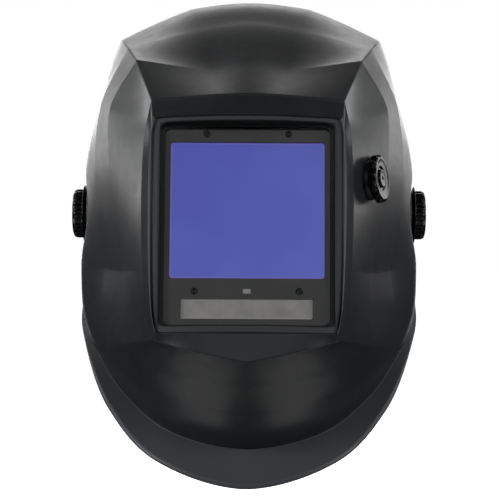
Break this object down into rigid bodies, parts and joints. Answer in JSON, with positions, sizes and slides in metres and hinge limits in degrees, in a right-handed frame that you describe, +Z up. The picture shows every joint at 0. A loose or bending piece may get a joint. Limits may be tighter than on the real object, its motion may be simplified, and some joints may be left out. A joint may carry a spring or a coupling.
{
  "type": "welding helmet",
  "caption": "Hard welding helmet shell with a large auto-darkening window, outside shade knob and pivot knobs, on an adjustable ratchet headgear.",
  "frame": {"origin": "middle of the pivot axis, between the wearer's temples", "axes": "+Z up, -Y the way the wearer looks, +X the wearer's left"},
  "size_m": [0.2456, 0.3233, 0.3318],
  "materials": {
    "shell_black": "satin, fine moulded texture",
    "trim_black": "matte moulded",
    "knob_gloss": "semi-gloss moulded",
    "cartridge_black": "fine satin",
    "clear_lens": "clear polycarbonate",
    "filter_blue": "mirror-coated filter glass",
    "shutter_glass": "dark green liquid crystal stack",
    "solar_cell": "textured cell under clear film",
    "sensor_dark": "smoked window",
    "status_pale": "pale diffuser",
    "board_green": "solder mask",
    "cell_steel": "zinc plated",
    "washer_black": "moulded friction disc",
    "insert_brass": "machined",
    "band_plastic": "flexible moulded strap",
    "stud_plastic": "moulded fixing",
    "sweat_cloth": "perforated towelling over foam",
    "pad_foam": "cloth over foam",
    "lead_sheath": "soft sheath"
  },
  "bodies": {
    "headgear": {"headband_front": "band_plastic", "sweatband": "sweat_cloth", "side_rail_left": "trim_black", "side_rail_right": "trim_black", "headband_rivets": "stud_plastic", "crown_strap_front_left": "band_plastic", "crown_strap_front_right": "band_plastic", "crown_strap_rear_left": "band_plastic", "crown_strap_rear_right": "band_plastic", "strap_studs": "stud_plastic", "crown_pad": "pad_foam"},
    "ratchet_unit": {"strap_tail_left": "band_plastic", "strap_tail_right": "band_plastic", "ratchet_housing": "trim_black", "ratchet_cover": "trim_black", "cover_screws": "cell_steel", "nape_pad": "pad_foam"},
    "ratchet_knob": {"ratchet_knob": "knob_gloss", "ratchet_pinion": "insert_brass"},
    "carriages": {"carriage_left": "trim_black", "carriage_right": "trim_black", "pivot_bolt_left": "cell_steel", "pivot_bolt_right": "cell_steel"},
    "shell": {"shell": "shell_black", "cover_lens_outer": "clear_lens", "adf_holder": "trim_black", "holder_screws": "cell_steel", "adf_front_housing": "cartridge_black", "adf_filter_glass": "filter_blue", "adf_lcd_shutter": "shutter_glass", "solar_panel": "solar_cell", "arc_sensors": "sensor_dark", "status_window": "status_pale", "adf_circuit_board": "board_green", "coin_cells": "cell_steel", "adf_rear_housing": "cartridge_black", "inner_cover_lens": "clear_lens", "shade_pot": "trim_black", "shade_pot_nut": "cell_steel", "shade_lead": "lead_sheath", "friction_washer_left": "washer_black", "friction_washer_right": "washer_black", "spacer_washer_left": "washer_black", "spacer_washer_right": "washer_black"},
    "tilt_stop_left": {"tilt_stop_plate_left": "trim_black"},
    "tilt_stop_right": {"tilt_stop_plate_right": "trim_black"},
    "tension_knob_left": {"tension_knob_left": "knob_gloss", "knob_insert_left": "insert_brass"},
    "tension_knob_right": {"tension_knob_right": "knob_gloss", "knob_insert_right": "insert_brass"},
    "shade_knob": {"shade_knob": "knob_gloss", "shade_knob_cap": "knob_gloss", "shade_shaft": "cell_steel"},
    "sensitivity_dial": {"sensitivity_dial": "cartridge_black"},
    "delay_dial": {"delay_dial": "cartridge_black"},
    "mode_button": {"mode_button": "cartridge_black"},
    "battery_cap_left": {"battery_cap_left": "cartridge_black"},
    "battery_cap_right": {"battery_cap_right": "cartridge_black"},
    "holder_latch_left": {"holder_latch_left": "trim_black"},
    "holder_latch_right": {"holder_latch_right": "trim_black"}
  },
  "joints": [
    {"name": "reach_slide", "type": "slide", "parent": "headgear", "child": "carriages", "axis": [0, 1, 0], "range_m": [-0.01, 0.01]},
    {"name": "tilt_hinge", "type": "hinge", "parent": "carriages", "child": "shell", "pos_m": [0, 0, 0], "axis": [-1, 0, 0], "range_deg": [0, 60]},
    {"name": "ratchet_turn", "type": "hinge", "parent": "ratchet_unit", "child": "ratchet_knob", "pos_m": [0, 0.14489, -0.02482], "axis": [0, -0.9659, 0.2588], "range_deg": [-137, 137]},
    {"name": "ratchet_draw", "type": "slide", "parent": "headgear", "child": "ratchet_unit", "axis": [0, -0.9659, 0.2588], "range_m": [-0.012, 0.012]},
    {"name": "tension_left_turn", "type": "hinge", "parent": "carriages", "child": "tension_knob_left", "pos_m": [0.118, 0, 0], "axis": [1, 0, 0], "range_deg": [0, 180]},
    {"name": "tension_right_turn", "type": "hinge", "parent": "carriages", "child": "tension_knob_right", "pos_m": [-0.118, 0, 0], "axis": [-1, 0, 0], "range_deg": [0, 180]},
    {"name": "tilt_stop_left_turn", "type": "hinge", "parent": "shell", "child": "tilt_stop_left", "pos_m": [0.1042, 0, 0], "axis": [-1, 0, 0], "range_deg": [0, 20]},
    {"name": "tilt_stop_right_turn", "type": "hinge", "parent": "shell", "child": "tilt_stop_right", "pos_m": [-0.1042, 0, 0], "axis": [-1, 0, 0], "range_deg": [0, 20]},
    {"name": "shade_turn", "type": "hinge", "parent": "shell", "child": "shade_knob", "pos_m": [0.08012, -0.10027, 0.02096], "axis": [0.9273, -0.3607, 0.0997], "range_deg": [-135, 135]},
    {"name": "sensitivity_turn", "type": "hinge", "parent": "shell", "child": "sensitivity_dial", "pos_m": [0.014, -0.12902, -0.06026], "axis": [0, 0.9848, -0.1736], "range_deg": [-135, 135]},
    {"name": "delay_turn", "type": "hinge", "parent": "shell", "child": "delay_dial", "pos_m": [-0.014, -0.12902, -0.06026], "axis": [0, 0.9848, -0.1736], "range_deg": [-135, 135]},
    {"name": "mode_press", "type": "slide", "parent": "shell", "child": "mode_button", "axis": [0, -0.9848, 0.1736], "range_m": [0, 0.0012], "stiffness_N_per_m": 400},
    {"name": "battery_cap_left_turn", "type": "hinge", "parent": "shell", "child": "battery_cap_left", "pos_m": [0.04, -0.12902, -0.06026], "axis": [0, 0.9848, -0.1736], "range_deg": [0, 60]},
    {"name": "battery_cap_right_turn", "type": "hinge", "parent": "shell", "child": "battery_cap_right", "pos_m": [-0.04, -0.12902, -0.06026], "axis": [0, 0.9848, -0.1736], "range_deg": [0, 60]},
    {"name": "latch_left_slide", "type": "slide", "parent": "shell", "child": "holder_latch_left", "axis": [1, 0, 0], "range_m": [0, 0.005]},
    {"name": "latch_right_slide", "type": "slide", "parent": "shell", "child": "holder_latch_right", "axis": [-1, 0, 0], "range_m": [0, 0.005]}
  ],
  "couplings": [
    {"joint": "ratchet_draw", "follows": "ratchet_turn", "m_per_rad": 0.005}
  ]
}
